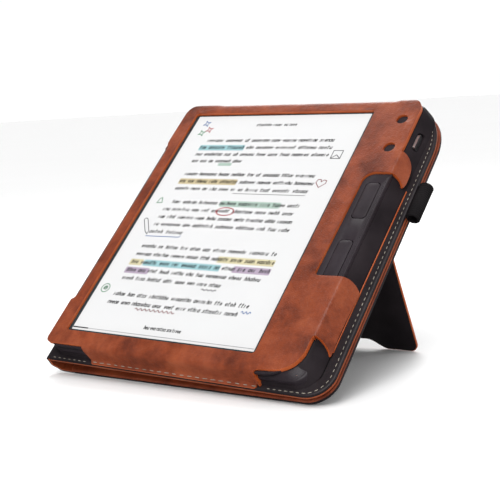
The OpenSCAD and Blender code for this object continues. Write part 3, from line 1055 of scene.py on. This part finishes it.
rearSet = {
    "levels": (
        (1.1, -8.9, 82.2), (0.4, -8.65, 82.1), (0.05, -8.1, 81.9),
        (0, -7.2, 81.2), (0, -5.8, 80.1), (0, -4.6, 79.1),
    ),
    "keyHole": (66.0, 58.0, 4.35), "wall": 1.1,
}
bm = bmesh.new()
rearRings = [housingRing(bm, inset, z, right) for inset, z, right in rearSet["levels"]]
bridgeRings(bm, rearRings)
backEdges = rearRings[0] + drawLoop(bm, circleOutline(*rearSet["keyHole"]), rearSet["levels"][0][1])
bmesh.ops.triangle_fill(bm, use_beauty=True, edges=backEdges)
bmesh.ops.recalc_face_normals(bm, faces=bm.faces)
backFace = max(bm.faces, key=lambda face: face.calc_area())
if backFace.normal.z > 0:
    bmesh.ops.reverse_faces(bm, faces=bm.faces)
rearHousing = makePiece(
    "rearHousing", bm, casePlace, [gripPlastic], nodes=["rear_housing"]
)
addSolidify(rearHousing, rearSet["wall"])
sharpenByAngle(rearHousing)

socketSet = {
    "y": 55.4, "z": -5.7, "size": (8.9, 3.0), "x": (74.0, 81.3), "sheet": 0.3,
    "tongue": (4.5, 6.6, 0.7), "tongueIn": 3.0,
}
bm = bmesh.new()
longSide, shortSide = socketSet["size"]
socketRings = []
for x, shrink in (
    (socketSet["x"][0], 0), (socketSet["x"][1], 0), (socketSet["x"][1], socketSet["sheet"]),
    (socketSet["x"][0] + 0.5, socketSet["sheet"]),
):
    outline = filleted(box2d(
        -longSide / 2 + shrink, longSide / 2 - shrink, -shortSide / 2 + shrink, shortSide / 2 - shrink,
        [shortSide / 2 - 0.15 - shrink] * 4,
    ), 0.35)
    verts = [bm.verts.new((x, socketSet["y"] + p[0], socketSet["z"] + p[1])) for p in outline]
    socketRings.append([bm.edges.new((verts[k - 1], verts[k])) for k in range(len(verts))])
bridgeRings(bm, socketRings)
bmesh.ops.triangle_fill(bm, use_beauty=True, edges=socketRings[0])
bmesh.ops.triangle_fill(bm, use_beauty=True, edges=socketRings[-1])
tongueX = socketSet["x"][0] + socketSet["tongueIn"]
addBlock(bm, socketSet["tongue"], (tongueX, socketSet["y"], socketSet["z"]))
bmesh.ops.recalc_face_normals(bm, faces=bm.faces)
socket = makePiece(
    "chargingSocket", bm, casePlace, [stampedSheet], nodes=["usb_port"]
)
sharpenByAngle(socket)

stemRadius, stemDepth, stemZ = readerSet["stem"]
for index, name in enumerate(("page_button_upper", "page_button_lower")):
    bm = bmesh.new()
    plate(bm, [keyOutline(index, 0)], readerSet["front"] - readerSet["keyDeep"],
          readerSet["front"] + readerSet["keyRise"], 0.14, 0.0, 2)
    stem = bmesh.ops.create_cone(
        bm, cap_ends=True, segments=24, radius1=stemRadius, radius2=stemRadius, depth=stemDepth
    )["verts"]
    bmesh.ops.translate(bm, verts=stem, vec=(readerSet["keyX"], readerSet["keyY"][index], stemZ))
    key = makePiece(
        "pageKey" + ("Upper", "Lower")[index], bm, casePlace, [gripPlastic], body=name,
        nodes=[name],
    )
    sharpenByAngle(key)
print("housing and keys ready")

# Midframe, its right edge brought in so that it stays inside the sloping wall.
midframeSet = {"right": 76.4, "half": 77.6}
bm = bmesh.new()
bm.from_mesh(frame["nodes"]["midframe"].data)
bm.transform(casePlace.inverted() @ frame["nodes"]["midframe"].matrix_world)
bmesh.ops.remove_doubles(bm, verts=bm.verts, dist=1e-3)
for vert in bm.verts:
    vert.co.x = min(vert.co.x, midframeSet["right"])
    vert.co.y = max(-midframeSet["half"], min(vert.co.y, midframeSet["half"]))
bmesh.ops.dissolve_degenerate(bm, dist=1e-4, edges=bm.edges[:])
makePiece(
    "midframeSheet", bm, casePlace, [stampedSheet], smooth=False, nodes=["midframe"]
)

# Screen: film with its dark border, and the page that it shows. The border is partly real and partly painted
# shade.
screenSet = {
    "film": (56.0, 73.5), "page": (-52.4, 52.45, -70.35, 71.1), "front": -1.5, "back": -2.1,
    "wordSeed": 11, "textLift": 0.05, "tintLift": 0.025, "ink": 0.03,
}
bm = bmesh.new()
filmX, filmY = screenSet["film"]
plate(bm, [filleted(box2d(-filmX, filmX, -filmY, filmY, [2] * 4), 0.6)],
      screenSet["back"], screenSet["front"], 0.1)
screenFilm = makePiece(
    "screenFilm", bm, casePlace, [filmBorderAndShade], nodes=["screen_film"]
)
sharpenByAngle(screenFilm)
# the page is narrower than the display, so the film's dark border shows wide at its left and right: partly the
# real border, partly painted shade for the gap under the leather's rim
bm = bmesh.new()
plate(bm, [filleted(box2d(*screenSet["page"], [0.3] * 4), 0.3)],
      screenSet["front"] - 0.02, screenSet["front"] + 0.02)
page = makePiece("shownPage", bm, casePlace, [pageWhite])
sharpenByAngle(page)

pageTop = screenSet["front"] + 0.02


def addStroke(bm, points, width, lift):
    # a flat line through the points
    for a, b in zip(points, points[1:]):
        a, b = Vector(a), Vector(b)
        along = b - a
        made = bmesh.ops.create_cube(bm, size=1)["verts"]
        bmesh.ops.scale(bm, vec=(along.length + width * 0.6, width, screenSet["ink"]), verts=made)
        bmesh.ops.transform(
            bm, verts=made,
            matrix=Matrix.Translation(((a.x + b.x) / 2, (a.y + b.y) / 2, pageTop + lift))
            @ Matrix.Rotation(math.atan2(along.y, along.x), 4, "Z"),
        )


# strokes of the letter-like marks, as shares of their width and height
markShapes = (
    (((0.1, 0), (0.1, 1)), ((0.1, 0.9), (0.5, 1.0), (0.7, 0.75), (0.7, 0))),
    (((0.7, 1), (0.7, 0)), ((0.7, 0.9), (0.3, 1), (0.05, 0.5), (0.3, 0), (0.7, 0.15))),
    (((0.1, 0.5), (0.4, 1), (0.7, 0.5), (0.4, 0), (0.1, 0.5)),),
    (((0.65, 0.85), (0.3, 1), (0.15, 0.7), (0.6, 0.35), (0.4, 0), (0.05, 0.12)),),
    (((0.05, 0.5), (0.65, 0.55), (0.45, 1), (0.1, 0.6), (0.3, 0), (0.65, 0.15)),),
    (((0.2, 1.5), (0.2, 0)), ((0.2, 0.9), (0.55, 1), (0.65, 0.6), (0.65, 0))),
    (((0.3, 1.45), (0.3, 0.1), (0.5, 0)), ((0.05, 1), (0.55, 1))),
    (((0.1, 1), (0.35, 0), (0.65, 1)),),
    (((0.25, 0), (0.25, 1)),),
    (((0.15, 1), (0.15, 0.15), (0.45, 0), (0.7, 0.3)), ((0.7, 1), (0.7, 0))),
)


def addWords(bm, x0, x1, y, rng, height=1.5, pitch=1.42, gap=1.5, width=0.36, lean=0.24):
    letters = []
    x = 0.0
    while x < x1 - x0 - pitch * 2.2:
        size = rng.choice((2, 3, 4, 4, 5, 6, 7, 8))
        for _ in range(size):
            letters.append((x, rng.randrange(len(markShapes))))
            x += pitch
        x += gap
    spread = (x1 - x0) / (x - gap)
    for at, shape in letters:
        for stroke in markShapes[shape]:
            points = []
            for u, v in stroke:
                across = at * spread + u * pitch * 1.15 + v * height * lean
                points.append((x0 + across, y + v * height - height * 0.5))
            addStroke(bm, points, width, screenSet["textLift"])


lines = (
    (-38.0, 38.6, 53.2), (-40.4, 39.6, 48.2), (-40.4, 39.8, 43.4), (-40.4, -9.0, 38.7),
    (-40.0, 38.0, 29.6), (-40.6, 39.4, 24.7), (-40.6, 38.8, 19.7),
    (-37.5, 38.6, 10.6), (-40.6, 37.0, 5.7), (-40.6, 38.6, 0.7), (-40.6, 39.6, -4.2), (-40.6, -20.0, -9.1),
    (-40.0, 39.4, -18.4), (-40.6, 40.4, -23.4), (-40.6, 40.4, -28.4), (-40.6, 37.6, -33.4),
    (-40.6, 19.0, -38.4),
    (-40.0, 39.0, -48.0), (-40.6, 35.0, -52.9),
)
rng = random.Random(screenSet["wordSeed"])
bm = bmesh.new()
for x0, x1, y in lines:
    addWords(bm, x0, x1, y, rng)
addWords(bm, -12.0, 12.5, 64.2, rng, 1.3, 1.15, 0.9, 0.3, 0.1)
addWords(bm, -11.0, 10.5, -65.1, rng, 1.3, 1.15, 0.9, 0.3, 0.1)
addStroke(bm, [(-3.3, 17.3), (38.2, 17.3)], 0.22, screenSet["textLift"])
makePiece("pageMarks", bm, casePlace, [pageInk], smooth=False)

tints = {
    "cyan": (0.27, 0.47, 0.5), "sage": (0.34, 0.45, 0.39), "sand": (0.5, 0.42, 0.25),
    "lemon": (0.56, 0.51, 0.32), "lilac": (0.38, 0.31, 0.4),
}
highlights = {
    "cyan": ((-40.6, -11.9, 48.2), (-32.9, 12.9, -28.4)),
    "sage": ((-22.4, -14.0, 36.6), (-7.4, 27.6, 10.6)),
    "sand": ((-40.8, -4.7, 24.7),),
    "lemon": ((9.0, 40.7, -23.4), (-41.5, -33.5, -28.4)),
    "lilac": ((20.1, 40.7, -28.4), (-41.5, -26.9, -33.4)),
}
for tint, bars in highlights.items():
    bm = bmesh.new()
    pale = tints[tint]
    for x0, x1, y in bars:
        height = 1.0 if tint == "sage" and y > 30 else 1.9
        plate(bm, [filleted(box2d(x0, x1, y - height, y + height, [0.6] * 4), 0.3)],
              pageTop - 0.01, pageTop + screenSet["tintLift"])
    marker = smoothCover("marker" + tint.capitalize(), tuple(c * 0.93 for c in pale), pale, 0.65, 0.05, 4000)
    makePiece("highlight" + tint.capitalize(), bm, casePlace, [marker], smooth=False)


def starPoints(x, y, size):
    points = []
    for k in range(9):
        angle = math.pi / 4 * k + 0.5
        reach = size if k % 2 == 0 else size * 0.33
        points.append(around(x, y, reach, reach, angle))
    return points


def waveLine(x0, x1, y, height, waves):
    steps = int(waves * 8)
    return [
        (x0 + (x1 - x0) * k / steps, y + height * math.sin(2 * math.pi * waves * k / steps))
        for k in range(steps + 1)
    ]


def ovalLine(x, y, rx, ry, turns=1.0, grow=0.0):
    steps = int(24 * turns)
    return [
        around(x, y, rx + grow * k / steps, ry + grow * k / steps, 2 * math.pi * turns * k / steps)
        for k in range(steps + 1)
    ]


doodles = {
    "Blue": ((0.05, 0.12, 0.3), (
        starPoints(-44.7, 65.7, 2.3), [(-41.3, -12.0), (-21.0, -11.7), (-20.0, -10.8)],
        waveLine(36.4, 41.5, -51.3, 0.6, 2.5),
    )),
    "Red": ((0.33, 0.05, 0.06), (
        starPoints(-40.8, 61.2, 2.3), ovalLine(-1.9, 5.7, 5.0, 2.3, 2.0, 0.35),
    )),
    "Green": ((0.05, 0.2, 0.09), (
        starPoints(-44.7, 58.8, 2.3), ovalLine(-46.8, -45.2, 2.4, 2.5),
        ovalLine(-46.6, -45.2, 0.3, 0.4, 1.6, 0.9),
        [(-46.8, 9.6), (-43.6, 9.9), (-44.9, 13.2), (-46.1, 12.6), (-46.8, 9.6)],
    )),
    "Maroon": ((0.17, 0.03, 0.035), (
        [(43.2, 22.6), (40.6, 25.6), (41.2, 27.6), (42.6, 27.7), (43.3, 26.2), (44.6, 27.4),
         (46.0, 26.9), (46.0, 25.2), (43.2, 22.6)],
        waveLine(-22.0, 1.2, -55.5, 0.6, 9),
    )),
    "Grey": ((0.06, 0.06, 0.065), (
        [(41.6, 41.2), (41.6, 46.4), (46.8, 46.4), (46.8, 41.2), (41.6, 41.2), (44.2, 43.6),
         (46.8, 41.2)],
        [(-47.5, -0.6), (-48.3, -1.7), (-43.5, -9.0), (-41.3, -10.8), (-41.3, -8.6), (-46.1, -1.2),
         (-47.5, -0.6)],
        waveLine(9.0, 17.3, -41.2, 0.45, 3.5),
    )),
}
for colour, (ink, paths) in doodles.items():
    bm = bmesh.new()
    for path in paths:
        addStroke(bm, path, 0.38, screenSet["textLift"] + 0.01)
    inkMaterial = smoothCover("ink" + colour, ink, tuple(min(1, c * 1.5) for c in ink), 0.6, 0.05, 4000)
    makePiece("doodle" + colour, bm, casePlace, [inkMaterial], smooth=False)

progress = {"from": -52.0, "to": 52.0, "read": -43.0, "y": -69.0}
progressGrey = smoothCover("progressGrey", (0.28, 0.29, 0.3), (0.35, 0.36, 0.37), 0.6, 0.05, 4000)
for name, end, width, lift, material in (
    ("progressLine", "to", 0.3, 0, progressGrey), ("progressRead", "read", 0.6, 0.02, pageInk),
):
    bm = bmesh.new()
    stroke = [(progress["from"], progress["y"]), (progress[end], progress["y"])]
    addStroke(bm, stroke, width, screenSet["textLift"] + lift)
    makePiece(name, bm, casePlace, [material], smooth=False)
print("screen ready")

# Finishes of the CAD pieces that stay.
nodeFinish = {
    "light_guide": clearGuide, "light_strip": ledPaste, "epaper_panel": panelGrey,
    "front_gasket": foamBlack, "display_flex": flexAmber,
    "main_board": boardGreen, "shield_cans": stampedSheet, "battery": cellFoil,
    "battery_plug": plugWhite, "wifi_antenna": flexAmber,
    "hall_sensor": sensorBlack, "button_board": boardGreen, "dome_switches": stampedSheet,
    "power_switch": stampedSheet, "housing_screws": plainSteel, "power_button": gripPlastic,
    "cover_magnets": plainSteel, "stand_hinge_strip": blackLeather,
}
for name, material in nodeFinish.items():
    node = frame["nodes"][name]
    node.data.materials.clear()
    node.data.materials.append(material)

# Floor, light and background.
lightSet = {
    "floor": 30.0,
    "floorColour": (0.96, 0.96, 0.96),
    "seen": 1.02,
    "spread": 0.74,
    "glossy": ((0.0, 0.22), (0.03, 0.95), (0.14, 0.85), (0.4, 0.3), (1.0, 0.1)),
    "glossyBack": ((0.35, 0.16), (0.75, 1.0)),
    "sun": (1.7, (38, -14, 30), 40),
}
bm = bmesh.new()
bmesh.ops.create_grid(bm, x_segments=2, y_segments=2, size=lightSet["floor"])
floorMesh = bpy.data.meshes.new("floor")
bm.to_mesh(floorMesh)
bm.free()
floor = bpy.data.objects.new("floor", floorMesh)
floorMaterial, floorTree, floorShader = newMaterial("floorPaint", 0.55)
floorCloud = pattern(floorTree, "ShaderNodeTexNoise", 3, Detail=3).outputs["Fac"]
floorLow = tuple(c * 0.985 for c in lightSet["floorColour"])
floorTree.links.new(
    ramp(floorTree, floorCloud, (0.3, floorLow), (0.7, lightSet["floorColour"])),
    floorShader.inputs["Base Color"],
)
floorMesh.materials.append(floorMaterial)
scene.collection.objects.link(floor)
floor.visible_glossy = False

world = bpy.data.worlds.new("studio")
scene.world = world
world.use_nodes = True
worldTree = world.node_tree
background = worldTree.nodes["Background"]
rays = addNode(worldTree, "ShaderNodeLightPath").outputs
skyWay = addNode(worldTree, "ShaderNodeTexCoord").outputs["Generated"]
skyHeight = addNode(worldTree, "ShaderNodeSeparateXYZ", {"Vector": skyWay}).outputs["Z"]
glossySky = ramp(worldTree, skyHeight, *lightSet["glossy"])
skyDepth = addNode(worldTree, "ShaderNodeSeparateXYZ", {"Vector": skyWay}).outputs["Y"]
skyBack = addNode(worldTree, "ShaderNodeMapRange", {"Value": skyDepth, "From Min": -1.0}).outputs["Result"]
backShare = ramp(worldTree, skyBack, *lightSet["glossyBack"])
glossySky = blendColours(worldTree, 1.0, glossySky, backShare, "MULTIPLY")
spread, seen = lightSet["spread"], lightSet["seen"]
sky = blendColours(worldTree, rays["Is Glossy Ray"], (spread, spread, spread), glossySky)
sky = blendColours(worldTree, rays["Is Camera Ray"], sky, (seen, seen, seen))
worldTree.links.new(sky, background.inputs["Color"])

sunPower, sunTurn, sunSpread = lightSet["sun"]
sun = bpy.data.objects.new("sun", bpy.data.lights.new("sun", "SUN"))
sun.data.energy = sunPower
sun.data.angle = math.radians(sunSpread)
sun.rotation_euler = [math.radians(a) for a in sunTurn]
scene.collection.objects.link(sun)


def softBox(name, at, aim, width, height, power):
    light = bpy.data.lights.new(name, "AREA")
    light.shape = "RECTANGLE"
    light.size = width
    light.size_y = height
    light.energy = power
    box = bpy.data.objects.new(name, light)
    box.location = at
    box.rotation_euler = (Vector(aim) - Vector(at)).to_track_quat("-Z", "Y").to_euler()
    scene.collection.objects.link(box)


for box in (
    ("topStrip", (-0.35, 0.75, 0.5), (0, 0.05, 0.1), 0.8, 0.3, 3.0),
    ("overhead", (-0.5, 0.42, 0.8), (0, 0, 0.06), 0.4, 0.3, 1.6),
    ("crease", (0.14, -0.25, 1.2), (0, 0, 0.06), 0.1, 0.5, 2.4),
    ("sidePanel", (0.8, 0.35, 0.6), (0.05, 0, 0.06), 0.12, 0.4, 0.4),
):
    softBox(*box)
print("stage and light ready")
